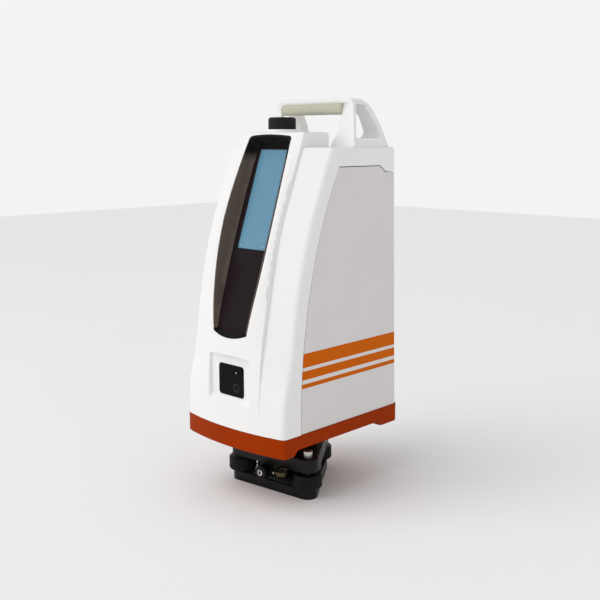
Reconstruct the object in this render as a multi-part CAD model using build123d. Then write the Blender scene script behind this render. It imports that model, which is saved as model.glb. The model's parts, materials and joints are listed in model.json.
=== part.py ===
from build123d import *
from math import cos, radians, sin
import os

# Terrestrial laser scanner on a levelling tribrach.
# Origin: the tripod thread in the underside of the tribrach. +Z up, -Y is the front with the window.
# The head is drawn about its own point: mid width, mid depth, on the split line above the base tray.

BODY_WIDTH = 170.0
BODY_DEPTH = 215.0
HEAD_SHIFT_Y = 10.0        # the rotation axis is this far in front of mid depth
SPLIT_HEIGHT = 96.0        # split line between base tray and shell, above the tribrach underside
TRAY_HEIGHT = 23.7
WALL = 3.0
SEAM = 1.0                 # gap between neighbouring panels
SPINE_HALF = 50.0          # half width of the raised middle of the front
DECK_Z = 333.0
HOOD_Z = 351.0
REAR_FOOT_Y = 104.0        # rear face at the split line
REAR_LEAN = 0.032          # the rear face leans forward by this much per unit of height
AXIS_Y = -HEAD_SHIFT_Y     # rotation axis, in the head's own drawing frame

# front of the shell at each height: z, centre of the spine, edge of the spine, start of the flank, corner
FRONT_LEVELS = [
    (0, -117.5, -114.0, -113.8, -107.5),
    (16, -117.5, -114.0, -113.7, -107.5),
    (32, -117.4, -113.8, -113.3, -106.8),
    (47, -117.2, -113.3, -112.4, -104.8),
    (62, -116.8, -112.6, -110.9, -101.2),
    (77, -116.4, -111.7, -109.0, -97.0),
    (92, -115.9, -110.4, -106.6, -93.8),
    (110, -115.5, -107.9, -103.3, -91.2),
    (130, -114.6, -104.7, -99.6, -88.6),
    (170, -110.0, -97.0, -92.0, -82.0),
    (210, -101.8, -88.4, -83.6, -72.3),
    (250, -90.2, -76.6, -71.9, -59.2),
    (290, -75.0, -60.6, -55.9, -43.0),
    (DECK_Z, -53.0, -43.2, -38.6, -23.5),
]
HOOD_LEVELS = [(344, -46.5, -39.0), (HOOD_Z, -42.0, -35.5)]
HOOD_BACK_Y = 7.0

CAP_Y = -22.0
CAP_R = 16.8
CAP_H = 14.0
CAP_Z = HOOD_Z + 3.0       # top of the boss that the cap stands on
BOSS_R = 19.5
INSERT_R = 9.4             # steel thread insert under the cap
HANDLE_SCREW_X = 65.5
HANDLE_SCREW_Y = (29, 74)
CONNECTOR_X = 28.0
CONNECTOR_Y = 78.0

TRIBRACH_SCREW_RADIUS = 62.0
SCREW_ANGLES = {"a": -145.0, "b": -25.0, "c": 95.0}
THREAD_R = 6.75            # 5/8 inch 11 tpi tripod thread at its core
BASE_PLATE_H = 13.0

os.makedirs("parts", exist_ok=True)


def export(name, shape, in_head=False):
    if in_head:
        shape = Pos(0, HEAD_SHIFT_Y, SPLIT_HEIGHT) * shape
    shape.label = name
    export_step(shape, f"parts/{name}.step")


def box(x0, x1, y0, y1, z0, z1):
    size = (x1 - x0, y1 - y0, z1 - z0)
    return Pos((x0 + x1) / 2, (y0 + y1) / 2, (z0 + z1) / 2) * Box(*size)


def disc(r, z0, z1, x=0.0, y=0.0):
    return Pos(x, y, (z0 + z1) / 2) * Cylinder(r, z1 - z0)


def ring(outer, inner, z0, z1, x=0.0, y=0.0):
    return disc(outer, z0, z1, x, y) - disc(inner, z0 - 1, z1 + 1, x, y)


def rod_x(r, x0, x1, y, z):
    return Pos((x0 + x1) / 2, y, z) * Rot(0, 90, 0) * Cylinder(r, x1 - x0)


def rod_y(r, y0, y1, x, z):
    return Pos(x, (y0 + y1) / 2, z) * Rot(90, 0, 0) * Cylinder(r, y1 - y0)


def prism_x(points, x0, x1, radii=0.0):
    """A side view outline of (y, z) points, pulled across the width."""
    outline = FilletPolyline(*points, radius=radii, close=True)
    face = Plane(origin=(x0, 0, 0), x_dir=(0, 1, 0), z_dir=(1, 0, 0)) * make_face(outline)
    return extrude(face, x1 - x0, dir=(1, 0, 0))


def prism_y(points, y0, y1, radii=0.0):
    """A front view outline of (x, z) points, pulled along the depth."""
    outline = FilletPolyline(*points, radius=radii, close=True)
    face = Plane(origin=(0, y1, 0), x_dir=(1, 0, 0), z_dir=(0, -1, 0)) * make_face(outline)
    return extrude(face, y1 - y0, dir=(0, -1, 0))


def rear_y(z):
    return REAR_FOOT_Y - REAR_LEAN * z


def rear_slab(x0, x1, z0, z1, depth0, depth1):
    """A slab that follows the leaning rear face, between two depths below it."""
    outline = [
        (rear_y(z0) - depth1, z0),
        (rear_y(z0) - depth0, z0),
        (rear_y(z1) - depth0, z1),
        (rear_y(z1) - depth1, z1),
    ]
    return prism_x(outline, x0, x1)


# ---------------------------------------------------------------- head shell

def flank_face(level, inset):
    z, _, _, flank, corner = level
    half = BODY_WIDTH / 2 - inset
    back = rear_y(z) - inset
    points = [
        (-half, back), (-half, corner + inset), (-SPINE_HALF - 3, flank + inset),
        (SPINE_HALF + 3, flank + inset), (half, corner + inset), (half, back),
    ]
    outline = FilletPolyline(*points, radius=[5, 7, 4, 4, 7, 5], close=True)
    return Plane.XY.offset(z) * make_face(outline)


def spine_face(z, centre, edge, inset):
    half = SPINE_HALF - inset
    bow = ThreePointArc((-half, edge + inset), (0, centre + inset), (half, edge + inset))
    back = Polyline((half, edge + inset), (half, HOOD_BACK_Y - inset), (-half, HOOD_BACK_Y - inset),
                    (-half, edge + inset))
    return Plane.XY.offset(z) * make_face([bow, *back.edges()])


def envelope(inset):
    """The whole outside of the shell, or its inside when inset by the wall."""
    top = DECK_Z - inset
    flanks = loft([flank_face(level, inset) for level in FRONT_LEVELS])
    levels = [(z, centre, edge) for z, centre, edge, _, _ in FRONT_LEVELS] + HOOD_LEVELS
    spine = loft([spine_face(z, centre, edge, inset) for z, centre, edge in levels])
    if inset:
        flanks -= box(-100, 100, -130, 130, top, DECK_Z + 1)
        spine -= box(-100, 100, -130, 130, HOOD_Z - inset, HOOD_Z + 1)
        return flanks + spine
    deck_edges = flanks.faces().sort_by(Axis.Z)[-1].edges()
    flanks = fillet(deck_edges, 4.0)
    hood_edges = spine.faces().sort_by(Axis.Z)[-1].edges()
    spine = fillet(hood_edges, 4.0)
    return flanks + spine


PANEL_OUTLINE_FRONT = [(-79, -2), (-78.4, 55), (-74.7, 102), (-63.7, 171), (-45, 239), (-15, 308)]
PANEL_TOP_Z = 311.0
EAR_Z = 303.7
FRONT_SEAM = 1.6           # the seam is wider along the front edge by this factor


def panel_prism(x0, x1, gap):
    """The side panel's outline; a gap makes it smaller on every free edge."""
    front = [(y + FRONT_SEAM * gap, z) for y, z in PANEL_OUTLINE_FRONT]
    edge = Spline(*front)
    top = PANEL_TOP_Z - gap
    ear = EAR_Z - gap
    back = Polyline(front[-1], (-13.8 + FRONT_SEAM * gap, top), (64.2 - gap, top), (74.0 - gap, ear), (130, ear),
                    (130, -2), front[0])
    outline = make_face([edge, *back.edges()])
    face = Plane(origin=(x0, 0, 0), x_dir=(0, 1, 0), z_dir=(1, 0, 0)) * outline
    return extrude(face, x1 - x0, dir=(1, 0, 0))


# window recess: a tray that lies on a plane leaning back, drawn in that plane
RECESS_TOP = (0, -33.5, 329)
RECESS_PLANE = Plane(origin=RECESS_TOP, x_dir=(1, 0, 0), z_dir=(0, -1, 0.353))
RECESS_OUT = 34.0


def recess_face(distance, half_top, half_upper, half_low, half_bottom, top, bottom, grow):
    right = Spline((half_bottom + grow, bottom), (half_low + grow, -188),
                   (half_upper + grow, -78), (half_top + grow, top - 5))
    left = Spline((-half_top - grow, top - 5), (-half_upper - grow, -78),
                  (-half_low - grow, -188), (-half_bottom - grow, bottom))
    over = FilletPolyline((half_top + grow, top - 5), (half_top + grow, top + grow),
                          (-half_top - grow, top + grow), (-half_top - grow, top - 5), radius=4.6)
    under = ThreePointArc((-half_bottom - grow, bottom), (0, bottom - 4 - grow),
                          (half_bottom + grow, bottom))
    outline = make_face([*right.edges(), *over.edges(), *left.edges(), *under.edges()])
    return RECESS_PLANE.offset(distance) * outline


def recess(grow):
    back = recess_face(-grow, 30.0, 33.5, 30.0, 26.0, 4.0, -227.0, grow)
    front = recess_face(RECESS_OUT, 38.0, 44.5, 38.5, 29.0, 21.0, -231.0, grow)
    return loft([back, front], ruled=True)


def camera_pocket():
    floor = Plane(origin=(0, -110.5, 0), x_dir=(1, 0, 0), z_dir=(0, -1, 0))
    inner = Pos(0, 60.5) * RectangleRounded(68, 49, 3)
    outer = Pos(0, 59.5) * RectangleRounded(74, 64, 4)
    return loft([floor * inner, floor.offset(8) * outer], ruled=True)


def head_shell():
    outside = envelope(0)
    shell = outside - envelope(WALL)
    backing = box(-42, 42, -114.6, -107.2, 22, 97) & outside
    boss_ring = disc(BOSS_R, HOOD_Z - 8, CAP_Z, 0, CAP_Y)
    boss_ring = chamfer(boss_ring.edges().sort_by(Axis.Z)[-1], 0.8)
    shell = shell + backing + boss_ring
    shell -= recess(2.2)
    shell -= camera_pocket()
    shell -= prism_y([(-21.6, 38), (21.6, 38), (21.6, 76.8), (-21.6, 76.8)], -115, -100, 4.0)
    for side in (-1, 1):
        shell -= panel_prism(*sorted((side * 78, side * 90)), 0)
        for y in HANDLE_SCREW_Y:
            shell -= disc(3.0, DECK_Z - 10, DECK_Z + 1, side * HANDLE_SCREW_X, y)
    shell -= box(-90, 90, 76, 112, -5, EAR_Z)
    shell -= box(-90, 90, -130, 130, -5, 0.3)
    shell -= disc(INSERT_R + 0.1, HOOD_Z - 10, HOOD_Z + 5, 0, CAP_Y)
    shell -= disc(4.6, DECK_Z - 5, DECK_Z + 1, CONNECTOR_X, CONNECTOR_Y)
    return shell


export("front_shell", head_shell(), True)


def side_panel(side):
    panel = panel_prism(*sorted((side * 80.6, side * 84.2)), SEAM)
    panel &= loft([flank_face(level, 0.2) for level in FRONT_LEVELS])
    return panel - box(-100, 100, -130, 130, -5, 0.4)


for name, side in (("side_panel_left", -1), ("side_panel_right", 1)):
    export(name, side_panel(side), True)


# ---------------------------------------------------------------- window

def window_liner():
    return (recess(2.0) - recess(0)) & envelope(0.4)


GLASS_HALF = 25.0
GLASS_TOP = 1.0
GLASS_BOTTOM = -123.6


def window_plate(half_x, top, bottom, depth0, depth1, corner):
    plate = Pos(0, (top + bottom) / 2) * RectangleRounded(2 * half_x, top - bottom, corner)
    return extrude(RECESS_PLANE.offset(-depth1) * plate, depth1 - depth0, dir=RECESS_PLANE.z_dir)


recess_opening = window_plate(GLASS_HALF + 0.2, GLASS_TOP + 0.2, GLASS_BOTTOM - 0.2, -1, 5, 2.0)
export("window_liner", window_liner() - recess_opening, True)
window_frame = window_plate(GLASS_HALF + 7, GLASS_TOP + 7, GLASS_BOTTOM - 7, 2.2, 4.2, 3.0)
window_frame -= window_plate(GLASS_HALF - 3, GLASS_TOP - 3, GLASS_BOTTOM + 3, 0, 6, 2.0)
export("window_frame", window_frame, True)
export("window_glass", window_plate(GLASS_HALF, GLASS_TOP, GLASS_BOTTOM, 0.2, 2.1, 2.0), True)


# ---------------------------------------------------------------- panorama camera

camera_window = prism_y([(-21.3, 38.3), (21.3, 38.3), (21.3, 76.5), (-21.3, 76.5)], -111.2, -108.2, 4.0)
export("camera_window", camera_window, True)
CAMERA_X = 6.0
CAMERA_Z = 52.0
camera_barrel = rod_y(10.5, -107.0, -82.0, CAMERA_X, CAMERA_Z)
camera_barrel -= rod_y(8.0, -108.0, -84.0, CAMERA_X, CAMERA_Z)
camera_barrel += box(CAMERA_X - 15, CAMERA_X + 15, -84.5, -82.0, CAMERA_Z - 13, CAMERA_Z + 13)
export("camera_barrel", camera_barrel, True)
lens_body = rod_y(7.9, -104.0, -98.0, CAMERA_X, CAMERA_Z)
lens_dome = Pos(CAMERA_X, -94.0, CAMERA_Z) * Sphere(12.0)
export("camera_lens", lens_body & lens_dome, True)


# ---------------------------------------------------------------- rear cover and what is on it

DOOR_HALF = 54.0
DOOR_Z = (33.0, 150.0)
HINGE_DEPTH = 3.0
HINGE_Z = DOOR_Z[0]
BUTTON_X = 34.0
BUTTON_Z = 240.0
BUTTON_R = 6.0
FLAP_X = (-58.0, -12.0)
FLAP_Z = (226.0, 256.0)
LED_X = (-8.0, 2.0, 12.0)
COVER_SCREWS = [(x, z) for x in (-74, 74) for z in (12, 155, 292)]

door_pivot_y = rear_y(HINGE_Z) - HINGE_DEPTH
cover = rear_slab(-80.2, 80.2, 0.6, EAR_Z - SEAM, 0, WALL)
cover -= rear_slab(-DOOR_HALF - 0.5, DOOR_HALF + 0.5, HINGE_Z, DOOR_Z[1] + 0.5, -1, 4)
cover -= rod_x(HINGE_DEPTH + 0.5, -DOOR_HALF - 0.5, DOOR_HALF + 0.5, door_pivot_y, HINGE_Z)
cover -= box(-DOOR_HALF - 0.5, DOOR_HALF + 0.5, door_pivot_y, 120, HINGE_Z - 3.8, HINGE_Z + 1)
cover -= rod_y(BUTTON_R + 0.3, 80, 110, BUTTON_X, BUTTON_Z)
for x in LED_X:
    cover -= rod_y(1.6, 80, 110, x, BUTTON_Z)
for x, z in COVER_SCREWS:
    cover -= rod_y(1.6, 80, 110, x, z)
    cover -= rod_y(3.2, rear_y(z) - 1.4, 112, x, z)
for lug_x in (-DOOR_HALF - 4.5, DOOR_HALF + 0.5):
    cover += box(lug_x, lug_x + 4, door_pivot_y - 3, door_pivot_y + 1, HINGE_Z - 4, HINGE_Z + 4)
cover -= rod_x(1.6, -DOOR_HALF - 5, DOOR_HALF + 5, door_pivot_y, HINGE_Z)
SOCKET_CENTRE = (-46.0, -26.0)
cover -= prism_y([(-53, 234), (-39, 234), (-39, 248), (-53, 248)], 80, 110)
cover -= rod_y(7.0, 80, 110, SOCKET_CENTRE[1], 241)
FLAP_T = 2.6
FLAP_LIFT = 0.3            # air under the flap
flap_pivot_y = rear_y(FLAP_Z[1]) + FLAP_LIFT + FLAP_T / 2
for x0, x1 in ((FLAP_X[0] - 5, FLAP_X[0] - 0.4), (FLAP_X[1] + 0.4, FLAP_X[1] + 5)):
    cover += rear_slab(x0, x1, FLAP_Z[1] - 4, FLAP_Z[1] + 4, -3.4, 0.5)
    cover -= rod_x(0.85, x0 - 1, x1 + 1, flap_pivot_y, FLAP_Z[1])
export("rear_cover", cover, True)

screws = None
for x, z in COVER_SCREWS:
    screw = rod_y(3.0, rear_y(z) - 1.3, rear_y(z) + 0.3, x, z)
    screw += rod_y(1.5, rear_y(z) - 10, rear_y(z) - 1, x, z)
    screw -= rod_y(1.2, rear_y(z) - 0.6, rear_y(z) + 1, x, z)
    screws = screw if screws is None else screws + screw
export("rear_cover_screws", screws, True)

door = rear_slab(-DOOR_HALF, DOOR_HALF, HINGE_Z, DOOR_Z[1], 0, WALL)
door += rod_x(HINGE_DEPTH, -DOOR_HALF, DOOR_HALF, door_pivot_y, HINGE_Z)
door -= rod_x(1.55, -DOOR_HALF - 1, DOOR_HALF + 1, door_pivot_y, HINGE_Z)
door -= rear_slab(-13, 13, 128, 144, -1, 1.6)
for rib_z in (60, 72, 84, 96, 108):
    door += rear_slab(-40, 40, rib_z, rib_z + 3, -0.8, 0.5)
export("battery_door", door, True)
export("door_hinge_pin", rod_x(1.5, -DOOR_HALF - 4.5, DOOR_HALF + 4.5, door_pivot_y, HINGE_Z), True)
latch = rear_slab(-12.5, 12.5, 133, 143.5, -0.6, 1.4)
for rib_z in (136, 139):
    latch += rear_slab(-9, 9, rib_z, rib_z + 1.2, -1.4, 0)
export("door_latch", latch, True)

button = rod_y(BUTTON_R, rear_y(BUTTON_Z) - 6, rear_y(BUTTON_Z) + 1.2, BUTTON_X, BUTTON_Z)
button = fillet(button.edges().sort_by(Axis.Y)[-1], 0.6)
export("power_button", button, True)
lights = None
for x in LED_X:
    light = rod_y(1.5, rear_y(BUTTON_Z) - 6, rear_y(BUTTON_Z) + 0.3, x, BUTTON_Z)
    lights = light if lights is None else lights + light
export("status_lights", lights, True)

flap = rear_slab(*FLAP_X, *FLAP_Z, -FLAP_LIFT - FLAP_T, -FLAP_LIFT)
flap += rod_x(FLAP_T / 2, *FLAP_X, flap_pivot_y, FLAP_Z[1])
flap += rod_x(0.8, FLAP_X[0] - 4, FLAP_X[1] + 4, flap_pivot_y, FLAP_Z[1])
flap += rear_slab(-43, -27, FLAP_Z[0] - 2, FLAP_Z[0] + 1, -FLAP_LIFT - FLAP_T - 1, -FLAP_LIFT - 1)
export("port_flap", flap, True)
data_socket = rear_slab(-52.6, -39.4, 234.4, 247.6, 0.4, 18) - rear_slab(-51, -41, 236.5, 245.5, -1, 14)
export("data_socket", data_socket, True)
power_inlet = rod_y(6.9, 78, rear_y(241) - 0.4, SOCKET_CENTRE[1], 241)
power_inlet -= rod_y(5.0, 86, 110, SOCKET_CENTRE[1], 241)
export("power_inlet", power_inlet, True)


# ---------------------------------------------------------------- base tray

def tray_outline(inset):
    half = BODY_WIDTH / 2 - inset
    front = -BODY_DEPTH / 2 + inset
    back = BODY_DEPTH / 2 - inset
    bow = ThreePointArc((-half + 7, front - 1.4), (0, front - 10), (half - 7, front - 1.4))
    right = FilletPolyline((half - 7, front - 1.4), (half, front + 1), (half, back), (-half, back),
                           (-half, front + 1), (-half + 7, front - 1.4), radius=[2.2, 7, 7, 2.2])
    return make_face([bow, *right.edges()])


def tray_block(inset, z0, z1):
    return extrude(Plane.XY.offset(z0) * tray_outline(inset), z1 - z0, dir=(0, 0, 1))


tray = tray_block(0, -TRAY_HEIGHT, 0)
tray = chamfer(tray.faces().sort_by(Axis.Z)[0].edges(), 1.0)
tray -= tray_block(WALL, -TRAY_HEIGHT + 4, 1)
SCALLOP = [(-96, -30), (-86, -17.7), (67, -17.7), (79, -30)]
FACET = [(-92, -24), (-84, -16.6), (65, -16.6), (75, -24)]
for side in (-1, 1):
    tray -= prism_x(SCALLOP, *sorted((side * 70, side * 100)))
    tray -= prism_x(FACET, *sorted((side * 82.5, side * 100)))
    tray += box(*sorted((side * 66, side * 79)), -92, 76, -19.7, -14)
tray -= prism_y([(-64, -30), (-56, -20.5), (56, -20.5), (64, -30)], 90, 120)
tray += box(-66, 66, 84, 104, -19.7, -16)
tray -= disc(24.0, -30, 1, 0, AXIS_Y)
POSTS = [(x, y) for x in (-56, 56) for y in (-52, 66)]
for x, y in POSTS:
    tray += disc(6, -20, 33.6, x, y)
export("base_tray", tray, True)


# ---------------------------------------------------------------- handle

HANDLE_TOP = 391.5
GRIP_BACK_Y = 38.5
GRIP_TOP_Z = 385.0
HANDLE_SIDE = [
    (18.5, DECK_Z - 6), (34.5, HANDLE_TOP + 1), (52, HANDLE_TOP + 1),
    (66, 381), (77, 362), (89, DECK_Z - 6),
]
side_view = prism_x(HANDLE_SIDE, -90, 90, [2, 3, 6, 16, 30, 3])
HANDLE_FRONT = [(-80, DECK_Z - 4), (-64.5, HANDLE_TOP), (64.5, HANDLE_TOP), (80, DECK_Z - 4)]
front_view = prism_y(HANDLE_FRONT, 0, 110, [0, 12, 12, 0])
FINGER_GAP = [
    (-42, 320), (-42, 338), (-50, 352), (-50, 375),
    (50, 375), (50, 352), (42, 338), (42, 320),
]
finger_gap = prism_y(FINGER_GAP, -5, 120, [0, 6, 10, 5, 5, 10, 6, 0])
SIDE_GAP = [(26.5, 343.5), (37.5, 383.5), (53, 383.5), (60, 374), (68, 361), (77, 343.5)]
handle = (side_view & front_view) - finger_gap
for side in (-1, 1):
    side_gap = prism_x(SIDE_GAP, *sorted((side * 41, side * 100)), [3, 3, 3, 8, 20, 5])
    handle -= side_gap - box(-50, 50, 0, 110, 375, 400)
handle -= box(-100, 100, 0, 120, DECK_Z - 10, DECK_Z + 0.05)
handle -= box(-51.2, 51.2, 20, GRIP_BACK_Y + 0.1, 368, GRIP_TOP_Z + 0.1)
for side in (-1, 1):
    for y in HANDLE_SCREW_Y:
        handle -= disc(3.0, DECK_Z - 1, DECK_Z + 9, side * HANDLE_SCREW_X, y)
export("handle", handle, True)

grip = box(-51, 51, 25.5, GRIP_BACK_Y, 371.8, GRIP_TOP_Z)
grip = fillet(grip.edges().filter_by(Axis.X), 5.6)
grip = fillet(grip.faces().sort_by(Axis.X)[-1].edges(), 4.6)
grip = fillet(grip.faces().sort_by(Axis.X)[0].edges(), 4.6)
export("handle_grip", grip, True)

screws = None
for side in (-1, 1):
    for y in HANDLE_SCREW_Y:
        screw = disc(2.95, DECK_Z - WALL - 1, DECK_Z + 8, side * HANDLE_SCREW_X, y)
        screw += disc(5.0, DECK_Z - WALL - 4, DECK_Z - WALL - 0.05, side * HANDLE_SCREW_X, y)
        screws = screw if screws is None else screws + screw
export("handle_screws", screws, True)


# ---------------------------------------------------------------- hood fittings

insert = ring(INSERT_R, THREAD_R, HOOD_Z - 9, CAP_Z - 0.2, 0, CAP_Y)
insert += ring(INSERT_R + 2, THREAD_R, HOOD_Z - 10.4, HOOD_Z - 8.2, 0, CAP_Y)
export("top_thread_insert", insert, True)
cap = disc(CAP_R, CAP_Z + 0.2, CAP_Z + CAP_H, 0, CAP_Y)
cap = chamfer(cap.faces().sort_by(Axis.Z)[-1].edges(), 1.6)
cap -= disc(CAP_R - 2.5, CAP_Z, CAP_Z + CAP_H - 3, 0, CAP_Y)
cap += disc(THREAD_R - 0.4, CAP_Z - 9, CAP_Z + CAP_H - 2, 0, CAP_Y)
FLUTES = 32
for i in range(FLUTES):
    a = radians(360 / FLUTES * i)
    x = (CAP_R + 0.55) * cos(a)
    y = CAP_Y + (CAP_R + 0.55) * sin(a)
    cap -= disc(0.9, CAP_Z - 1, CAP_Z + CAP_H - 2.4, x, y)
export("top_cap", cap, True)

connector = disc(4.4, DECK_Z - 8, DECK_Z + 0.2, CONNECTOR_X, CONNECTOR_Y)
connector += disc(6.0, DECK_Z + 0.05, DECK_Z + 2.6, CONNECTOR_X, CONNECTOR_Y)
for i in range(4):
    connector += disc(4.6, DECK_Z + 3.4 + 2.9 * i, DECK_Z + 5.2 + 2.9 * i, CONNECTOR_X, CONNECTOR_Y)
connector += disc(3.8, DECK_Z + 2, DECK_Z + 15, CONNECTOR_X, CONNECTOR_Y)
export("antenna_connector", connector, True)


# ---------------------------------------------------------------- inside the head

MIRROR_Y = -18.0
MIRROR_Z = 262.0
chassis = box(-70, 70, -62, 78, 33.7, 38)
chassis -= disc(38, 30, 40, 0, AXIS_Y)
for side in (-1, 1):
    chassis += box(*sorted((side * 58, side * 61.5)), -14, 78, 38, 300)
chassis += box(-58, 58, -14, 78, 222, 225.6)
for x, y in POSTS:
    chassis -= disc(1.6, 30, 40, x, y)
export("chassis", chassis, True)

bracket = None
for side in (-1, 1):
    arm = box(*sorted((side * 34, side * 38)), -34, 10, 225.7, MIRROR_Z + 12)
    arm += rod_x(13, *sorted((side * 34, side * 38)), MIRROR_Y, MIRROR_Z)
    arm -= rod_x(9.05, -60, 60, MIRROR_Y, MIRROR_Z)
    bracket = arm if bracket is None else bracket + arm
bracket += box(-38, 38, 4, 10, 225.7, 236)
export("mirror_bracket", bracket, True)

mirror_block = box(-30, 30, MIRROR_Y - 17, MIRROR_Y + 17, MIRROR_Z - 17, MIRROR_Z + 17)
mirror_block = chamfer(mirror_block.edges().filter_by(Axis.X), 2.0)
mirror_block -= rod_x(4.0, -40, 40, MIRROR_Y, MIRROR_Z)
export("scan_mirror", mirror_block, True)
export("mirror_shaft", rod_x(3.98, -44, 56, MIRROR_Y, MIRROR_Z), True)
bearings = None
for side in (-1, 1):
    bearing = rod_x(9.0, *sorted((side * 33.5, side * 38)), MIRROR_Y, MIRROR_Z)
    bearing -= rod_x(4.05, -60, 60, MIRROR_Y, MIRROR_Z)
    bearings = bearing if bearings is None else bearings + bearing
export("mirror_bearings", bearings, True)
motor = rod_x(15, 38.1, 57.8, MIRROR_Y, MIRROR_Z) - rod_x(4.3, 30, 56.6, MIRROR_Y, MIRROR_Z)
export("mirror_motor", motor, True)

LASER_X = -20.0
RECEIVER_X = 9.0
laser = rod_y(8, 20, 74, LASER_X, MIRROR_Z) + box(-31, -11.6, 40, 78, 225.7, MIRROR_Z + 10)
export("laser_module", laser, True)
receiver = rod_y(18, 20, 66, RECEIVER_X, MIRROR_Z) - rod_y(15.5, 18, 62, RECEIVER_X, MIRROR_Z)
receiver += box(-8, 26, 46, 54, 225.7, MIRROR_Z - 15.8)
export("receiver_barrel", receiver, True)
lens = rod_y(15.4, 22, 28, RECEIVER_X, MIRROR_Z) & (Pos(RECEIVER_X, 54, MIRROR_Z) * Sphere(32))
export("receiver_lens", lens, True)

for name, x0 in (("battery_left", -52.0), ("battery_right", 4.0)):
    pack = box(x0, x0 + 48, 30, 92, 42, 144)
    pack = fillet(pack.edges().filter_by(Axis.Y), 4.0)
    export(name, pack, True)
main_board = box(-54, 54, 79, 80.6, 152, 218)
main_board += box(-54, 54, 74, 79.1, 160, 166) + box(-20, 14, 76, 79.1, 178, 206)
export("main_board", main_board, True)


# ---------------------------------------------------------------- yaw drive (fixed spindle, turning head)

housing = ring(34, 24.0, -19.6, 9, 0, AXIS_Y)
export("bearing_housing", housing, True)
SPINDLE_R = 15.0
races = None
for z in (-17, -3):
    race = ring(23.95, SPINDLE_R + 0.02, z, z + 9, 0, AXIS_Y)
    races = race if races is None else races + race
export("yaw_bearings", races, True)
spindle = ring(SPINDLE_R, 9, -24, 30, 0, AXIS_Y)
export("spindle", spindle, True)
export("motor_rotor", ring(22, SPINDLE_R + 0.02, 10, 21, 0, AXIS_Y), True)
export("motor_stator", ring(36, 22.5, 9.1, 21, 0, AXIS_Y), True)
export("yaw_encoder_disc", ring(28, SPINDLE_R + 0.02, 24, 25.6, 0, AXIS_Y), True)
reader = box(22.5, 36, AXIS_Y - 6, AXIS_Y + 6, 21.1, 31) - box(20, 30, AXIS_Y - 8, AXIS_Y + 8, 22.6, 27)
export("yaw_encoder_reader", reader, True)


# ---------------------------------------------------------------- tribrach

def screw_place(key):
    a = radians(SCREW_ANGLES[key])
    return TRIBRACH_SCREW_RADIUS * cos(a), TRIBRACH_SCREW_RADIUS * sin(a)


def three_lobes(r, z0, z1):
    circles = [Pos(*screw_place(key)) * Circle(r) for key in SCREW_ANGLES]
    outline = make_hull([edge for circle in circles for edge in circle.edges()])
    return extrude(Plane.XY.offset(z0) * outline, z1 - z0, dir=(0, 0, 1))


plate = three_lobes(12, 0, BASE_PLATE_H)
plate = chamfer(plate.faces().sort_by(Axis.Z)[-1].edges(), 1.0)
plate -= disc(THREAD_R, -1, 20)
plate -= three_lobes(7.5, BASE_PLATE_H - 2.0, BASE_PLATE_H + 1) - disc(20, 0, 20)
for key in SCREW_ANGLES:
    plate -= disc(6.5, 4, 20, *screw_place(key))
    plate -= disc(15, -1, 2.0, *(v * 0.55 for v in screw_place(key))) & disc(30, -1, 3)
export("tribrach_base_plate", plate)

spring = three_lobes(7.0, BASE_PLATE_H - 1.9, BASE_PLATE_H - 0.4) - disc(20.5, 0, 20)
for key in SCREW_ANGLES:
    spring -= disc(4.4, 0, 20, *screw_place(key))
export("spring_plate", spring)

KNOB_R = 17.8
KNOB_Z = (13.6, 31.0)
SHAFT_R = 4.0
for key in SCREW_ANGLES:
    x, y = screw_place(key)
    screw = disc(SHAFT_R, 9, 54, x, y) + Pos(x, y, 7.6) * Sphere(5.6)
    screw &= disc(8, 4.3, 60, x, y)
    export(f"foot_screw_{key}", screw)
    knob = disc(KNOB_R, *KNOB_Z, x, y)
    knob = chamfer(knob.edges().filter_by(GeomType.CIRCLE), 1.6)
    knob -= disc(SHAFT_R, 0, 60, x, y)
    for i in range(24):
        a = radians(15 * i)
        knob -= disc(1.3, 0, 60, x + (KNOB_R + 0.4) * cos(a), y + (KNOB_R + 0.4) * sin(a))
    export(f"foot_knob_{key}", knob)

LOBE_Z = (34.3, 52.0)
DRUM_R = 41.5
DRUM_Z = (17.0, 52.0)
PLUG_R = 21.8
upper = disc(DRUM_R, *DRUM_Z) + three_lobes(13.5, *LOBE_Z)
upper = chamfer(upper.faces().sort_by(Axis.Z)[-1].edges(), 1.0)
for key in SCREW_ANGLES:
    x, y = screw_place(key)
    upper -= disc(SHAFT_R + 0.3, 0, 60, x, y)
    upper += ring(8.5, SHAFT_R + 0.3, 32.6 + 1.7, 36, x, y)
upper -= disc(PLUG_R + 0.1, 27, 60)
upper -= disc(36.5, 16, 27)
upper += ring(36.6, 23, 26.0, 28.0)
KNOB_SPOT_Z = 24.0
upper -= rod_y(3.3, -60, -30, 0, KNOB_SPOT_Z)
upper += rod_y(12, -43.5, -39.5, 0, KNOB_SPOT_Z) & box(-20, 20, -60, -37, DRUM_Z[0], 40)
upper -= rod_y(3.3, -60, -30, 0, KNOB_SPOT_Z)
LEVEL = (28.0, -43.0)
upper += disc(10.5, 22, 25, *LEVEL) - disc(DRUM_R - 3, 20, 40)
export("tribrach_body", upper)

bushings = None
for key in SCREW_ANGLES:
    x, y = screw_place(key)
    bushing = disc(5.85, 52.05, 60, x, y) - disc(SHAFT_R + 0.3, 50, 58.5, x, y)
    bushing = chamfer(bushing.faces().sort_by(Axis.Z)[-1].edges(), 0.6)
    bushings = bushing if bushings is None else bushings + bushing
export("foot_screw_caps", bushings)

cup = ring(9, 7.2, 25.05, 31, *LEVEL) + disc(9, 25.05, 26.5, *LEVEL)
export("level_ring", cup)
vial = disc(7.1, 26.6, 30.4, *LEVEL)
export("level_vial", vial)

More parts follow.
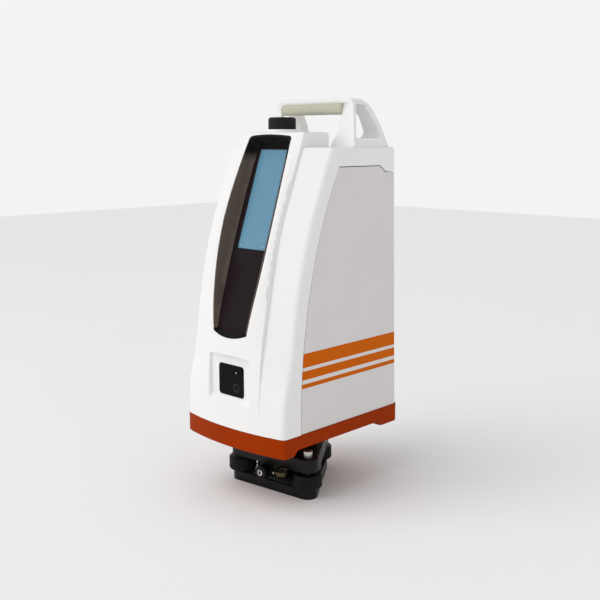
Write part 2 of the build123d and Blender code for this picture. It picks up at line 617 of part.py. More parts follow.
lock_ring = ring(36.0, 24.5, 19.0, 25.0)
for i in range(3):
    a = radians(120 * i + 30)
    lock_ring -= disc(3.0, 18, 26, 24.5 * cos(a), 24.5 * sin(a))
export("lock_ring", lock_ring)
lock_knob = rod_y(9.0, -54, -45, 0, KNOB_SPOT_Z)
lock_knob = chamfer(lock_knob.edges().sort_by(Axis.Y)[0], 1.0)
lock_knob += rod_y(3.0, -46, -37.5, 0, KNOB_SPOT_Z)
lock_knob += box(-1.6, 1.6, -55.0, -53.9, KNOB_SPOT_Z - 7, KNOB_SPOT_Z + 7)
export("lock_knob", lock_knob)

ADAPTER_TOP = SPLIT_HEIGHT - TRAY_HEIGHT - 0.6
adapter = disc(36, 52.05, ADAPTER_TOP) + disc(PLUG_R, 28.3, 53)
adapter = chamfer(adapter.faces().sort_by(Axis.Z)[-1].edges(), 1.5)
adapter -= disc(SPINDLE_R - 0.1, 60, 90)
for i in range(3):
    a = radians(120 * i + 90)
    adapter += disc(2.4, 20.5, 29, 16 * cos(a), 16 * sin(a))
export("adapter_plug", adapter)
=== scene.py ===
import bpy, json, math
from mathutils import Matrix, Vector


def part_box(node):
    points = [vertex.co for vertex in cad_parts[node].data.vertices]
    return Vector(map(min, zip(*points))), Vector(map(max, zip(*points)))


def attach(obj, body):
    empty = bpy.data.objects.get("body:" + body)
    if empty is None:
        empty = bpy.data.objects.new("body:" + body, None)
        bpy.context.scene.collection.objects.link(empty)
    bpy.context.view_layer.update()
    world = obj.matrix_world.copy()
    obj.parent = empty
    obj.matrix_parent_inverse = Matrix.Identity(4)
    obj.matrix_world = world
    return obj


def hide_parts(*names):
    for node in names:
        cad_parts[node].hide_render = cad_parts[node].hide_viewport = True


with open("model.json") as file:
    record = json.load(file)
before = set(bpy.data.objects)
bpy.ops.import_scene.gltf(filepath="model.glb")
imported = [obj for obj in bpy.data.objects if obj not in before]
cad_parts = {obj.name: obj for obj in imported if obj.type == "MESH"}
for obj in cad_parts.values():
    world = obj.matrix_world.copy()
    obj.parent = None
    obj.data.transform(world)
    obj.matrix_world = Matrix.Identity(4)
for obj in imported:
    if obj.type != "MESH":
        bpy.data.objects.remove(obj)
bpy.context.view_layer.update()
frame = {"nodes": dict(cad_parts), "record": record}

nodes = frame["nodes"]
mm = 0.001

# the head is laid out from the split line above the orange tray, mid width and mid depth
shellGap = 0.3 * mm  # between that line and the shell's lower edge
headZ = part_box("front_shell")[0][2] - shellGap
headY = 10 * mm  # the head's middle is this far behind the tripod thread


def headPoint(x, y, z):  # millimetres from the head's own zero
    return Vector((x * mm, y * mm + headY, z * mm + headZ))


def standPoint(x, y, z):  # millimetres from the tripod thread
    return Vector((x * mm, y * mm, z * mm))


def linear(hexCode):  # sRGB hex to linear colour
    values = [int(hexCode[i:i + 2], 16) / 255 for i in (0, 2, 4)]
    return tuple(v / 12.92 if v <= 0.04045 else ((v + 0.055) / 1.055) ** 2.4 for v in values) + (1.0,)


def addNode(tree, kind, settings=None, inputs=None):  # an input is a value or another node's output
    node = tree.nodes.new(kind)
    for name, value in (settings or {}).items():
        setattr(node, name, value)
    for key, value in (inputs or {}).items():
        if isinstance(value, bpy.types.NodeSocket):
            tree.links.new(value, node.inputs[key])
        else:
            node.inputs[key].default_value = value
    return node


def newMaterial(name):  # an empty material with its shader and the object's own coordinates
    material = bpy.data.materials.new(name)
    material.use_nodes = True
    tree = material.node_tree
    tree.nodes.clear()
    shader = addNode(tree, "ShaderNodeBsdfPrincipled")
    addNode(tree, "ShaderNodeOutputMaterial", inputs={"Surface": shader.outputs["BSDF"]})
    place = addNode(tree, "ShaderNodeTexCoord").outputs["Object"]
    return material, tree, shader, place


def surfaceGrain(tree, shader, place, look):  # fine relief, and patches of other gloss and shade
    grain = addNode(tree, "ShaderNodeTexNoise", inputs={
        "Vector": place, "Scale": 1000 / look["grainMm"], "Detail": 3.0, "Roughness": 0.6})
    bump = addNode(tree, "ShaderNodeBump", inputs={
        "Strength": look["grainStrength"], "Distance": look["grainDepthMm"] * mm,
        "Height": grain.outputs["Fac"]})
    tree.links.new(bump.outputs["Normal"], shader.inputs["Normal"])
    patch = addNode(tree, "ShaderNodeTexNoise", inputs={
        "Vector": place, "Scale": 1000 / look["patchMm"], "Detail": 4.0, "Roughness": 0.55})
    gloss = addNode(tree, "ShaderNodeMapRange", inputs={
        "Value": patch.outputs["Fac"], "From Min": 0.3, "From Max": 0.7,
        "To Min": look["roughness"] - look["glossSpread"], "To Max": look["roughness"] + look["glossSpread"]})
    tree.links.new(gloss.outputs["Result"], shader.inputs["Roughness"])
    shade = addNode(tree, "ShaderNodeMapRange", inputs={
        "Value": patch.outputs["Fac"], "From Min": 0.3, "From Max": 0.7,
        "To Min": 1 - look["shadeSpread"], "To Max": 1.0})
    return shade.outputs["Result"]


def shaded(tree, colour, factor):  # a colour, or another node's colour, darkened by a factor
    return addNode(tree, "ShaderNodeMix", {"data_type": "RGBA", "blend_type": "MULTIPLY"}, {
        0: 1.0, 6: colour, 7: addNode(tree, "ShaderNodeCombineColor", inputs={
            "Red": factor, "Green": factor, "Blue": factor}).outputs["Color"]}).outputs[2]


def plainFinish(name, look):  # moulded, painted or blackened surface of one colour
    material, tree, shader, place = newMaterial(name)
    factor = surfaceGrain(tree, shader, place, look)
    tree.links.new(shaded(tree, linear(look["colour"]), factor), shader.inputs["Base Color"])
    shader.inputs["Metallic"].default_value = look.get("metallic", 0.0)
    shader.inputs["Specular IOR Level"].default_value = look.get("shine", 0.5)
    shader.inputs["Coat Weight"].default_value = look.get("coat", 0.0)
    shader.inputs["Coat Roughness"].default_value = 0.1  # a soft lacquer, where there is a coat
    return material


toolMarks = {"strength": 0.35, "depthMm": 0.05, "smoother": 0.08, "rougher": 0.1, "darkest": 0.82}


def turnedMetal(name, look):  # machined metal, its tool marks drawn out along the axes scaled down
    material, tree, shader, place = newMaterial(name)
    stretch = addNode(tree, "ShaderNodeMapping", inputs={"Vector": place, "Scale": look["stretch"]})
    marks = addNode(tree, "ShaderNodeTexNoise", inputs={
        "Vector": stretch.outputs["Vector"], "Scale": 1000 / look["markMm"], "Detail": 2.0})
    bump = addNode(tree, "ShaderNodeBump", inputs={
        "Strength": toolMarks["strength"], "Distance": toolMarks["depthMm"] * mm,
        "Height": marks.outputs["Fac"]})
    gloss = addNode(tree, "ShaderNodeMapRange", inputs={
        "Value": marks.outputs["Fac"], "To Min": look["roughness"] - toolMarks["smoother"],
        "To Max": look["roughness"] + toolMarks["rougher"]})
    tone = addNode(tree, "ShaderNodeMapRange", inputs={
        "Value": marks.outputs["Fac"], "To Min": toolMarks["darkest"], "To Max": 1.0})
    tree.links.new(bump.outputs["Normal"], shader.inputs["Normal"])
    tree.links.new(gloss.outputs["Result"], shader.inputs["Roughness"])
    tree.links.new(shaded(tree, linear(look["colour"]), tone.outputs["Result"]), shader.inputs["Base Color"])
    shader.inputs["Metallic"].default_value = 1.0
    return material


smears = {"sizeMm": 30, "swirl": 1.2, "rougher": 0.06, "darkest": 0.9}


def clearGlass(name, look):  # tinted or coated glass, with faint smears
    material, tree, shader, place = newMaterial(name)
    smear = addNode(tree, "ShaderNodeTexNoise", inputs={
        "Vector": place, "Scale": 1000 / smears["sizeMm"], "Detail": 4.0, "Distortion": smears["swirl"]})
    gloss = addNode(tree, "ShaderNodeMapRange", inputs={
        "Value": smear.outputs["Fac"], "From Min": 0.35, "From Max": 0.75,
        "To Min": look["roughness"], "To Max": look["roughness"] + smears["rougher"]})
    tone = addNode(tree, "ShaderNodeMapRange", inputs={
        "Value": smear.outputs["Fac"], "To Min": smears["darkest"], "To Max": 1.0})
    tree.links.new(gloss.outputs["Result"], shader.inputs["Roughness"])
    tree.links.new(shaded(tree, linear(look["colour"]), tone.outputs["Result"]), shader.inputs["Base Color"])
    shader.inputs["Transmission Weight"].default_value = look["clear"]
    shader.inputs["IOR"].default_value = look.get("ior", 1.52)
    shader.inputs["Coat Weight"].default_value = look.get("coat", 0.0)
    return material


def stripedPanel(name, look):  # powder-coated sheet with three printed stripes at set heights
    material, tree, shader, place = newMaterial(name)
    factor = surfaceGrain(tree, shader, place, look)
    height = addNode(tree, "ShaderNodeSeparateXYZ", inputs={"Vector": place}).outputs["Z"]
    printed = 0.0
    for low, high in look["stripes"]:
        middle = (low + high) / 2 * mm + headZ
        half = (high - low) / 2 * mm
        band = addNode(tree, "ShaderNodeMath", {"operation": "COMPARE"}, {0: height, 1: middle, 2: half})
        printed = addNode(tree, "ShaderNodeMath", {"operation": "MAXIMUM"}, {
            0: printed, 1: band.outputs["Value"]}).outputs["Value"]
    colour = addNode(tree, "ShaderNodeMix", {"data_type": "RGBA"}, {
        0: printed, 6: linear(look["colour"]), 7: linear(look["stripeColour"])})
    tree.links.new(shaded(tree, colour.outputs[2], factor), shader.inputs["Base Color"])
    shader.inputs["Specular IOR Level"].default_value = look["shine"]
    return material


def paintedShadeLiner(name, look):  # one colour between two heights, and near black above and below: painted shade at the ends
    material, tree, shader, place = newMaterial(name)
    factor = surfaceGrain(tree, shader, place, look)
    height = addNode(tree, "ShaderNodeSeparateXYZ", inputs={"Vector": place}).outputs["Z"]
    above = addNode(tree, "ShaderNodeMapRange", inputs={
        "Value": height, "From Min": (look["high"] - look["fade"]) * mm + headZ,
        "From Max": (look["high"] + look["fade"]) * mm + headZ})
    below = addNode(tree, "ShaderNodeMapRange", inputs={
        "Value": height, "From Min": (look["low"] + look["edge"]) * mm + headZ,
        "From Max": look["low"] * mm + headZ})
    ends = addNode(tree, "ShaderNodeMath", {"operation": "MAXIMUM"}, {
        0: above.outputs["Result"], 1: below.outputs["Result"]})
    colour = addNode(tree, "ShaderNodeMix", {"data_type": "RGBA"}, {
        0: ends.outputs["Value"], 6: linear(look["colour"]), 7: linear(look["shadeColour"])})
    tree.links.new(shaded(tree, colour.outputs[2], factor), shader.inputs["Base Color"])
    shader.inputs["Specular IOR Level"].default_value = look["shine"]
    return material


# material slot: finish. Pattern sizes are in millimetres, and the grain of moulded and coated parts
# is drawn coarser than the real one, so that it still shows
finishes = {}

# ABS moulding, sprayed satin white: even, bright, very fine orange peel
finishes["white_shell"] = plainFinish("spray painted ABS", {
    "colour": "F1F0EF", "shine": 0.3, "roughness": 0.38, "grainMm": 1.2, "grainDepthMm": 0.05,
    "grainStrength": 0.25, "patchMm": 60, "glossSpread": 0.05, "shadeSpread": 0.02, "coat": 0.05})
# folded aluminium sheet, powder coated light warm grey: flat and dull, stripes printed on it
finishes["side_grey"] = stripedPanel("powder coated aluminium sheet", {
    "colour": "DEDBDA", "shine": 0.05, "stripeColour": "CE6200",
    "stripes": [(80.2, 97.0), (65.4, 76.0), (55.3, 60.5)],
    "roughness": 0.5, "grainMm": 0.9, "grainDepthMm": 0.06, "grainStrength": 0.35,
    "patchMm": 80, "glossSpread": 0.05, "shadeSpread": 0.025})
# the same powder coat on the rear sheet and the battery door, unprinted and a little shinier
finishes["rear_grey"] = plainFinish("powder coated rear sheet", {
    "colour": "E0DDDC", "shine": 0.2, "roughness": 0.5, "grainMm": 0.9, "grainDepthMm": 0.06,
    "grainStrength": 0.35, "patchMm": 80, "glossSpread": 0.05, "shadeSpread": 0.03})
# die-cast aluminium with baked enamel: deep burnt orange, slight waviness of the casting
finishes["base_orange"] = plainFinish("baked enamel on cast aluminium", {
    "colour": "9C3300", "shine": 0.03, "roughness": 0.42, "grainMm": 1.6, "grainDepthMm": 0.09,
    "grainStrength": 0.35, "patchMm": 45, "glossSpread": 0.07, "shadeSpread": 0.1})
# spark-textured ABS, dull brown; near its two ends it turns near black, painted shade where the ends of the
# recess lie in shadow
finishes["liner_brown_black"] = paintedShadeLiner("spark textured ABS", {
    "colour": "62574F", "shadeColour": "120F10", "low": 118, "high": 322, "edge": 1, "fade": 6,
    "shine": 0.15, "roughness": 0.62, "grainMm": 0.7, "grainDepthMm": 0.08, "grainStrength": 0.5,
    "patchMm": 25, "glossSpread": 0.06, "shadeSpread": 0.08})
# acrylic printed black on its back: a deep, even black under a smooth glossy face
finishes["black_gloss"] = plainFinish("back printed acrylic", {
    "colour": "050505", "shine": 0.08, "roughness": 0.12, "grainMm": 14, "grainDepthMm": 0.02,
    "grainStrength": 0.1, "patchMm": 30, "glossSpread": 0.04, "shadeSpread": 0.1})
# satin acrylic sheet: a softer black, faintly red, with a broad dim sheen
finishes["recess_black"] = plainFinish("satin black acrylic sheet", {
    "colour": "231A1D", "shine": 0.05, "roughness": 0.4, "grainMm": 0.8, "grainDepthMm": 0.03,
    "grainStrength": 0.2, "patchMm": 40, "glossSpread": 0.05, "shadeSpread": 0.1})
# glass with an interference coating: one flat pale blue that hides nearly all behind it
finishes["window_glass"] = clearGlass("interference coated glass", {
    "colour": "6A9DB8", "roughness": 0.06, "clear": 0.08, "coat": 0.1})
# optical glass with a thin coating: clear, faintly blue
finishes["lens_glass"] = clearGlass("coated optical glass", {
    "colour": "9FA8D0", "roughness": 0.02, "clear": 0.9, "ior": 1.6})
# a vial full of spirit: clear, yellow green
finishes["vial_glass"] = clearGlass("level vial with spirit", {
    "colour": "7E8460", "roughness": 0.02, "clear": 0.8})
# soft touch elastomer: matt, warm and pale, hardly any highlight
finishes["grip_pad"] = plainFinish("soft touch elastomer", {
    "colour": "C4C2AF", "shine": 0.15, "roughness": 0.72, "grainMm": 0.8, "grainDepthMm": 0.1,
    "grainStrength": 0.5, "patchMm": 18, "glossSpread": 0.05, "shadeSpread": 0.06})
# moulded nylon: dull near black, lightly textured
finishes["cap_black"] = plainFinish("moulded nylon", {
    "colour": "171516", "shine": 0.2, "roughness": 0.5, "grainMm": 0.6, "grainDepthMm": 0.08,
    "grainStrength": 0.5, "patchMm": 12, "glossSpread": 0.07, "shadeSpread": 0.15})
# moulded rubber: dark grey without gloss
finishes["flap_rubber"] = plainFinish("moulded rubber", {
    "colour": "242324", "roughness": 0.75, "grainMm": 0.7, "grainDepthMm": 0.08, "grainStrength": 0.5,
    "patchMm": 14, "glossSpread": 0.05, "shadeSpread": 0.12})
# nylon with glass fibre in it: black, its sheen slightly uneven
finishes["black_plastic"] = plainFinish("glass filled nylon", {
    "colour": "0F0E0F", "shine": 0.18, "roughness": 0.48, "grainMm": 0.5, "grainDepthMm": 0.07,
    "grainStrength": 0.5, "patchMm": 10, "glossSpread": 0.08, "shadeSpread": 0.18})
# anodised aluminium dyed black: dark, with some of the metal's own sheen
finishes["black_anodised"] = plainFinish("black anodised aluminium", {
    "colour": "101012", "shine": 0.2, "roughness": 0.38, "grainMm": 0.5, "grainDepthMm": 0.03,
    "grainStrength": 0.3, "patchMm": 12, "glossSpread": 0.06, "shadeSpread": 0.15, "metallic": 0.6})
# enamel baked on a rough casting: black satin, uneven in gloss and tone
finishes["tribrach_enamel"] = plainFinish("black enamel on cast aluminium", {
    "colour": "100E0F", "shine": 0.22, "roughness": 0.42, "grainMm": 1.1, "grainDepthMm": 0.12,
    "grainStrength": 0.45, "patchMm": 14, "glossSpread": 0.1, "shadeSpread": 0.25})
# stacked steel sheets: dark grey metal
finishes["motor_dark"] = plainFinish("laminated steel", {
    "colour": "2C2C30", "roughness": 0.4, "grainMm": 0.5, "grainDepthMm": 0.05, "grainStrength": 0.4,
    "patchMm": 8, "glossSpread": 0.08, "shadeSpread": 0.2, "metallic": 0.8})
# circuit board under solder mask: dark green, mottled by what lies under the mask
finishes["board_green"] = plainFinish("solder masked board", {
    "colour": "0F4A26", "roughness": 0.35, "grainMm": 3.0, "grainDepthMm": 0.1, "grainStrength": 0.5,
    "patchMm": 9, "glossSpread": 0.1, "shadeSpread": 0.35})
# moulded plastic case: dark grey satin
finishes["battery_case"] = plainFinish("moulded battery case", {
    "colour": "232326", "roughness": 0.5, "grainMm": 0.8, "grainDepthMm": 0.06, "grainStrength": 0.4,
    "patchMm": 15, "glossSpread": 0.06, "shadeSpread": 0.15})
# frosted acrylic: pale green, softly shiny
finishes["light_pipe"] = plainFinish("frosted acrylic light pipe", {
    "colour": "8FD89A", "roughness": 0.3, "grainMm": 0.4, "grainDepthMm": 0.03, "grainStrength": 0.3,
    "patchMm": 2, "glossSpread": 0.05, "shadeSpread": 0.2})
# stainless steel off the lathe: bright, with fine level rings
finishes["steel"] = turnedMetal("turned stainless steel", {
    "colour": "C9C8C4", "roughness": 0.28, "markMm": 0.5, "stretch": (0.2, 0.2, 1.0)})
# spring steel: greyer, streaked the way it was rolled
finishes["spring_steel"] = turnedMetal("rolled spring steel", {
    "colour": "A9A9AB", "roughness": 0.34, "markMm": 0.6, "stretch": (0.1, 1.0, 1.0)})
# turned brass gone dull: brown yellow with fine rings
finishes["brass"] = turnedMetal("turned brass", {
    "colour": "5E523C", "roughness": 0.36, "markMm": 0.4, "stretch": (0.2, 0.2, 1.0)})
# milled aluminium: pale grey with long cutter marks
finishes["aluminium"] = turnedMetal("milled aluminium", {
    "colour": "CFD1D3", "roughness": 0.35, "markMm": 1.0, "stretch": (0.15, 1.0, 1.0)})
# gold on a polished mirror: warm and nearly unmarked
finishes["mirror_coat"] = turnedMetal("gold coated mirror", {
    "colour": "F0D79A", "roughness": 0.09, "markMm": 6.0, "stretch": (1.0, 1.0, 1.0)})
# pad printed ink: flat white, thin on the surface
finishes["mark_white"] = plainFinish("pad printed white ink", {
    "colour": "E9E8E4", "shine": 0.2, "roughness": 0.6, "grainMm": 0.3, "grainDepthMm": 0.02,
    "grainStrength": 0.3, "patchMm": 2, "glossSpread": 0.05, "shadeSpread": 0.1})
print("finishes:", len(finishes))

rearNodes = ("rear_cover", "battery_door")
for entry in frame["record"]["subparts"]:
    node = nodes[entry["node"]]
    finish = "rear_grey" if entry["node"] in rearNodes else entry["material_slot"]
    node.data.materials.clear()
    node.data.materials.append(finishes[finish])


weldMm = {"surface": 0.004, "piece": 0.003}  # points closer than this become one
edgeAngles = {"smooth": 32, "bevel": 35}  # degrees; a steeper edge stays sharp, or is rounded


# shows a merged, smooth shaded copy of a CAD node in its place
def smoothed(name, angle=edgeAngles["smooth"]):
    source = nodes[name]
    copy = source.copy()
    copy.data = source.data.copy()
    copy.name = name + "_surface"
    for key in list(copy.keys()):
        del copy[key]
    copy.parent = None
    bpy.context.scene.collection.objects.link(copy)
    bpy.ops.object.select_all(action="DESELECT")
    bpy.context.view_layer.objects.active = copy
    copy.select_set(True)
    bpy.ops.object.mode_set(mode="EDIT")
    bpy.ops.mesh.select_all(action="SELECT")
    bpy.ops.mesh.remove_doubles(threshold=weldMm["surface"] * mm)
    bpy.ops.object.mode_set(mode="OBJECT")
    bpy.ops.object.shade_smooth_by_angle(angle=math.radians(angle))
    flatter = copy.modifiers.new("weighted", "WEIGHTED_NORMAL")
    flatter.weight = 100
    flatter.keep_sharp = True
    bpy.ops.object.modifier_apply(modifier=flatter.name)
    body = [b for b, members in frame["record"]["behaviour"]["bodies"].items() if name in members][0]
    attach(copy, body)
    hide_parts(name)
    return copy


for name in ("handle", "base_tray", "window_liner", "handle_grip", "top_cap", "rear_cover",
             "side_panel_left", "side_panel_right", "battery_door", "power_button", "port_flap",
             "antenna_connector", "tribrach_body", "tribrach_base_plate", "foot_screw_caps", "adapter_plug",
             "lock_knob", "foot_knob_a", "foot_knob_b", "foot_knob_c", "camera_window", "level_ring"):
    smoothed(name)
smoothed("front_shell", 7)  # a wider angle smears the camera pocket
print("smooth copies made")


def pick(obj, test):  # back in edit mode with only the passing vertices selected
    bpy.ops.object.mode_set(mode="OBJECT")
    for face in obj.data.polygons:
        face.select = False
    for edge in obj.data.edges:
        edge.select = False
    for vertex in obj.data.vertices:
        vertex.select = test(vertex.co)
    bpy.ops.object.mode_set(mode="EDIT")
    bpy.ops.mesh.select_mode(type="VERT")


def softened(width):  # rounds every sharp edge of the piece in edit mode
    bpy.ops.mesh.select_all(action="DESELECT")
    bpy.ops.mesh.select_mode(type="EDGE")
    bpy.ops.mesh.edges_select_sharp(sharpness=math.radians(edgeAngles["bevel"]))
    bpy.ops.mesh.bevel(offset=width * mm, segments=2, affect="EDGES")


def finishPiece(obj, name, place, turn, body, slotName, finish=None):  # sets it in place, gives it its finish and hangs it on its body
    bpy.ops.object.mode_set(mode="EDIT")
    bpy.ops.mesh.select_all(action="SELECT")
    bpy.ops.mesh.remove_doubles(threshold=weldMm["piece"] * mm)
    bpy.ops.mesh.normals_make_consistent(inside=False)
    bpy.ops.object.mode_set(mode="OBJECT")
    obj.location = place
    obj.rotation_euler = [math.radians(a) for a in turn]
    bpy.ops.object.transform_apply(location=True, rotation=True, scale=True)
    bpy.ops.object.shade_smooth_by_angle(angle=math.radians(edgeAngles["smooth"]))
    obj.name = name
    obj.data.materials.clear()
    obj.data.materials.append(finishes[finish or slotName])
    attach(obj, body)
    return obj


def turnedPiece(name, look, place, turn, body, slotName, finish=None):  # round, with steps turned in its top
    bpy.ops.object.select_all(action="DESELECT")
    bpy.ops.mesh.primitive_cylinder_add(vertices=look.get("sides", 64), radius=look["radius"] * mm,
                                        depth=look["height"] * mm, location=(0, 0, 0))
    obj = bpy.context.active_object
    top = look["height"] / 2 * mm
    pick(obj, lambda co: co.z > top * 0.99)
    bpy.ops.mesh.select_mode(type="FACE")
    for inward, up in look["steps"]:
        bpy.ops.mesh.inset(thickness=inward * mm, depth=0)
        bpy.ops.mesh.extrude_region_move(TRANSFORM_OT_translate={"value": (0, 0, up * mm)})
    softened(look["round"])
    return finishPiece(obj, name, place, turn, body, slotName, finish)


def ringPiece(name, look, place, turn, body, slotName, finish=None):  # thin raised ring
    bpy.ops.object.select_all(action="DESELECT")
    bpy.ops.mesh.primitive_torus_add(major_radius=look["radius"] * mm, minor_radius=look["width"] / 2 * mm,
                                     major_segments=64, minor_segments=12, location=(0, 0, 0))
    obj = bpy.context.active_object
    bpy.ops.object.mode_set(mode="EDIT")
    bpy.ops.mesh.select_all(action="SELECT")
    bpy.ops.transform.resize(value=(1, 1, look["flat"]))
    return finishPiece(obj, name, place, turn, body, slotName, finish)


def rowSheet(rows, thick):  # a flat sheet through rows of (place along it, one edge, other edge)
    bpy.ops.object.select_all(action="DESELECT")
    bpy.ops.mesh.primitive_grid_add(x_subdivisions=1, y_subdivisions=len(rows) - 1, size=1,
            location=(0, 0, 0))
    sheet = bpy.context.active_object
    gap = 1 / (len(rows) - 1)
    aside = 10  # metres; rows that are done wait there, clear of the next pick
    for i, (along, low, high) in enumerate(rows):
        old = -0.5 + i * gap
        pick(sheet, lambda co: abs(co.y - old) < gap * 0.2)
        bpy.ops.transform.resize(value=((high - low) * mm, 1, 1), center_override=(0, 0, 0))
        bpy.ops.transform.translate(value=((low + high) / 2 * mm, along * mm - old + aside, 0))
    bpy.ops.mesh.select_all(action="SELECT")
    bpy.ops.transform.translate(value=(0, -aside, 0))
    bpy.ops.mesh.extrude_region_move(TRANSFORM_OT_translate={"value": (0, 0, thick * mm)})
    return sheet


# the black panel that lines the bottom of the window recess, round the glass and below it;
# a row is its place up the recess and its half width, the hole its half width, top and bottom
recess = {"foot": (0, -33.5, 329), "lean": 70.55, "lift": 0.05, "thick": 0.5,
          "rows": [(-226.0, 25.6), (-207.0, 28.0), (-188.0, 29.6), (-150.0, 31.8), (-110.0, 33.0),
                   (-78.0, 33.2), (-50.0, 32.7), (-20.0, 31.2), (-4.0, 29.8), (3.4, 29.2)],
          "hole": (25.15, 1.15, -123.75), "round": 0.12}
lean = math.radians(recess["lean"])


def recessPoint(x, along, out):  # millimetres across, up along and out of the recess
    foot = recess["foot"]
    return headPoint(x + foot[0], foot[1] + along * math.cos(lean) - out * math.sin(lean),
                     foot[2] + along * math.sin(lean) + out * math.cos(lean))


panel = rowSheet([(along, -half, half) for along, half in recess["rows"]], recess["thick"])
bpy.ops.object.mode_set(mode="OBJECT")
holeHalf, holeTop, holeBottom = recess["hole"]
bpy.ops.object.select_all(action="DESELECT")
bpy.ops.mesh.primitive_cube_add(size=1, location=(0, (holeTop + holeBottom) / 2 * mm, 0))
cutter = bpy.context.active_object
cutter.scale = (2 * holeHalf * mm, (holeTop - holeBottom) * mm, 10 * mm)  # deeper than the panel
bpy.ops.object.select_all(action="DESELECT")
bpy.context.view_layer.objects.active = panel
panel.select_set(True)
cut = panel.modifiers.new("opening", "BOOLEAN")
cut.operation = "DIFFERENCE"
cut.object = cutter
bpy.ops.object.modifier_apply(modifier=cut.name)
bpy.data.objects.remove(cutter)
bpy.ops.object.mode_set(mode="EDIT")
softened(recess["round"])
finishPiece(panel, "recess_panel", recessPoint(0, 0, recess["lift"]), (recess["lean"], 0, 0), "head",
            "black_gloss", "recess_black")

# dark sheets behind the side panels, which show as a dark line along each seam: painted shade, standing for
# the seam's shadow;
# a row is its height and its front and back edges
seamShade = {"thick": 0.4, "inner": 79.9, "rows": [
    (1.0, -82.0, 99.0), (55.0, -81.4, 99.0), (102.0, -77.7, 97.0), (140.0, -72.0, 96.0),
    (171.0, -66.7, 95.0), (205.0, -58.5, 94.0), (239.0, -48.0, 93.0), (270.0, -37.0, 92.0),
    (301.0, -22.0, 91.0), (302.0, -22.0, 77.0), (314.0, -17.0, 64.0)]}
for side, x in (("left", -seamShade["inner"]), ("right", seamShade["inner"])):
    sheet = rowSheet(seamShade["rows"], seamShade["thick"])
    finishPiece(sheet, "seam_shade_" + side, headPoint(x - seamShade["thick"] / 2, 0, 0), (90, 0, 90), "head",
                "flap_rubber")

# two bright screw heads at the lower corners of the glass
glassScrew = {"radius": 1.0, "height": 0.5, "steps": [(0.35, -0.2)], "round": 0.1, "sides": 32,
              "across": {"left": -21.0, "right": 17.0}, "along": -119.5, "out": 0.25}
for side, x in glassScrew["across"].items():
    turnedPiece("glass_screw_" + side, glassScrew, recessPoint(x, glassScrew["along"], glassScrew["out"]),
                (recess["lean"], 0, 0), "head", "steel")
print("window pieces made")

# what shows behind the camera window: the lens edge, a ring inside it and a light sensor
cameraLook = {"lens": (8.9, -111.2, 49.5), "sensorPlace": (9.2, -111.3, 68.1),
              "rim": {"radius": 5.0, "width": 0.6, "flat": 0.4},
              "ring": {"radius": 3.2, "width": 0.4, "flat": 0.4},
              "sensor": {"radius": 1.0, "height": 0.3, "steps": [(0.3, -0.1)], "round": 0.06, "sides": 32}}
for ring in ("rim", "ring"):
    ringPiece("camera_lens_" + ring, cameraLook[ring], headPoint(*cameraLook["lens"]), (90, 0, 0), "head",
              "black_anodised", "battery_case")
turnedPiece("camera_sensor", cameraLook["sensor"], headPoint(*cameraLook["sensorPlace"]), (90, 0, 0),
            "head", "steel")

# cap: dished top with a raised rim and a middle boss
capLook = {"radius": 14.6, "height": 0.6, "round": 0.15, "place": (0, -22, 368.1),
           "steps": [(1.6, -0.4), (7.0, 0.01), (0.6, 0.3), (3.0, -0.2)]}
turnedPiece("cap_top", capLook, headPoint(*capLook["place"]), (0, 0, 0), "cap", "cap_black")

# lock knob: white ring printed on it, and the arrow beside it
lockMark = {"radius": 3.0, "width": 1.7, "flat": 1.3, "place": (0, -54.3, 24)}
lockArrow = {"radius": 1.9, "height": 0.4, "steps": [(0.2, 0.05)], "round": 0.05, "sides": 3,
             "place": (13.0, -43.5, 24)}
ringPiece("lock_mark", lockMark, standPoint(*lockMark["place"]), (90, 0, 0), "lock_knob",
          "black_plastic", "mark_white")
turnedPiece("lock_arrow", lockArrow, standPoint(*lockArrow["place"]), (90, 30, 0), "tribrach",
            "tribrach_enamel", "mark_white")

# circular level: the bubble under its glass, and the ring engraved round it
bubbleLook = {"radius": 2.6, "height": 0.7, "place": (28.6, -42.6, 30.2)}
levelCircle = {"radius": 3.4, "width": 0.35, "flat": 0.5, "place": (28, -43, 30.4)}
bpy.ops.object.select_all(action="DESELECT")
bpy.ops.mesh.primitive_uv_sphere_add(segments=40, ring_count=20, radius=1.0, location=(0, 0, 0))
bubble = bpy.context.active_object
bpy.ops.object.mode_set(mode="EDIT")
bpy.ops.transform.resize(value=(
    bubbleLook["radius"] * mm, bubbleLook["radius"] * mm, bubbleLook["height"] * mm))
finishPiece(bubble, "level_bubble", standPoint(*bubbleLook["place"]), (0, 0, 0), "tribrach",
            "vial_glass", "lens_glass")
ringPiece("level_circle", levelCircle, standPoint(*levelCircle["place"]), (0, 0, 0), "tribrach",
          "black_plastic")

# rear: trim round the power button, its sign above it, and a trim round each indicator light
rear = {"face": 104, "slope": 0.032}  # distance behind the head's middle, and lean per millimetre up
rearTurn = (math.degrees(math.atan(rear["slope"])) - 90, 0, 0)
rearRings = {
    "button_trim": {"radius": 7.2, "width": 1.2, "flat": 0.5, "across": 34, "up": 240, "slot": "steel"},
    "button_sign": {"radius": 2.2, "width": 0.5, "flat": 0.3, "across": 34, "up": 253,
            "slot": "black_plastic"}}
for i, across in enumerate((-8, 2, 12)):
    rearRings["light_trim_%d" % (i + 1)] = {
        "radius": 2.1, "width": 0.5, "flat": 0.5, "across": across, "up": 240, "slot": "black_plastic"}
for name, look in rearRings.items():
    place = headPoint(look["across"], rear["face"] - rear["slope"] * look["up"], look["up"])
    ringPiece(name, look, place, rearTurn, "head", look["slot"])
print("cap, camera, level and rear pieces made")

stage = {"floorSize": 8.0, "colour": "FDFDFD", "patchesPerMetre": 3.0, "darkest": 0.98, "roughness": 0.9}
bpy.ops.object.select_all(action="DESELECT")
bpy.ops.mesh.primitive_plane_add(size=stage["floorSize"], location=(0, 0, 0))
floor = bpy.context.active_object
floor.name = "floor"
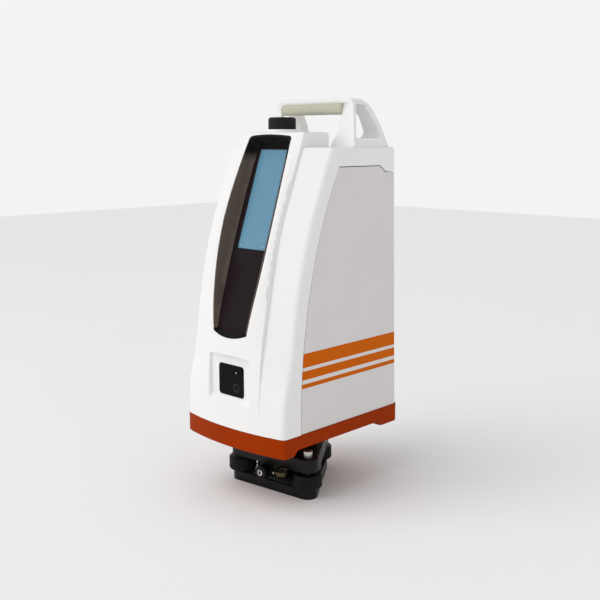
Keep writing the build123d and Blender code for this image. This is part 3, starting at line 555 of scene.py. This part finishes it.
# matt board, sprayed white: nearly even, no highlight
floorMaterial, floorTree, floorShader, floorPlace = newMaterial("matt studio board")
floorNoise = addNode(floorTree, "ShaderNodeTexNoise", inputs={
    "Vector": floorPlace, "Scale": stage["patchesPerMetre"]})
floorTone = addNode(floorTree, "ShaderNodeMapRange", inputs={
    "Value": floorNoise.outputs["Fac"], "To Min": stage["darkest"], "To Max": 1.0})
floorTree.links.new(shaded(floorTree, linear(stage["colour"]), floorTone.outputs["Result"]),
                    floorShader.inputs["Base Color"])
floorShader.inputs["Roughness"].default_value = stage["roughness"]
floor.data.materials.append(floorMaterial)

world = bpy.data.worlds.new("studio")
bpy.context.scene.world = world
world.use_nodes = True
# white near the horizon, dimmer overhead
backdrop = {"horizon": 0.9, "high": 0.54, "turnAt": 0.24, "turnOver": 0.15}
worldTree = world.node_tree
skyHeight = addNode(worldTree, "ShaderNodeSeparateXYZ", inputs={
    "Vector": addNode(worldTree, "ShaderNodeTexCoord").outputs["Generated"]}).outputs["Z"]
skyTone = addNode(worldTree, "ShaderNodeMapRange", {"interpolation_type": "SMOOTHSTEP"}, {
    "Value": skyHeight, "From Min": backdrop["turnAt"], "From Max": backdrop["turnAt"] + backdrop["turnOver"],
    "To Min": backdrop["horizon"], "To Max": backdrop["high"]})
worldTree.nodes["Background"].inputs["Color"].default_value = linear("FFFFFF")
worldTree.links.new(skyTone.outputs["Result"], worldTree.nodes["Background"].inputs["Strength"])

lights = {  # name: place, size in metres, watts
    "keyLight": ((-1.1, -1.9, 1.1), 1.1, 6),
    "sideLight": ((2.2, -0.6, 0.9), 1.2, 1.2),
}
aim = Vector((0, 0, 0.25))  # about half way up the scanner
for name, (place, size, watts) in lights.items():
    data = bpy.data.lights.new(name, "AREA")
    data.size = size
    data.energy = watts
    lamp = bpy.data.objects.new(name, data)
    lamp.location = place
    lamp.rotation_euler = (aim - Vector(place)).to_track_quat("-Z", "Y").to_euler()
    bpy.context.scene.collection.objects.link(lamp)

ceiling = {"from": (-0.35, -0.75, 1.0), "strength": 0.95, "softness": 55}  # a large soft ceiling panel
ceilingData = bpy.data.lights.new("ceilingLight", "SUN")
ceilingData.energy = ceiling["strength"]
ceilingData.angle = math.radians(ceiling["softness"])
ceilingLamp = bpy.data.objects.new("ceilingLight", ceilingData)
ceilingLamp.rotation_euler = (-Vector(ceiling["from"])).to_track_quat("-Z", "Y").to_euler()
bpy.context.scene.collection.objects.link(ceilingLamp)

view = {"place": (0.78345, -0.81697, 0.4395), "azimuth": 43.12, "pitch": 10.08, "lens": 54.59, "sensor": 36}
cameraData = bpy.data.cameras.new("camera")
cameraData.lens = view["lens"]
cameraData.sensor_width = view["sensor"]
camera = bpy.data.objects.new("camera", cameraData)
camera.location = view["place"]
camera.rotation_euler = (math.radians(90 - view["pitch"]), 0, math.radians(view["azimuth"]))
bpy.context.scene.collection.objects.link(camera)
bpy.context.scene.camera = camera
bpy.context.scene.view_settings.view_transform = "Standard"
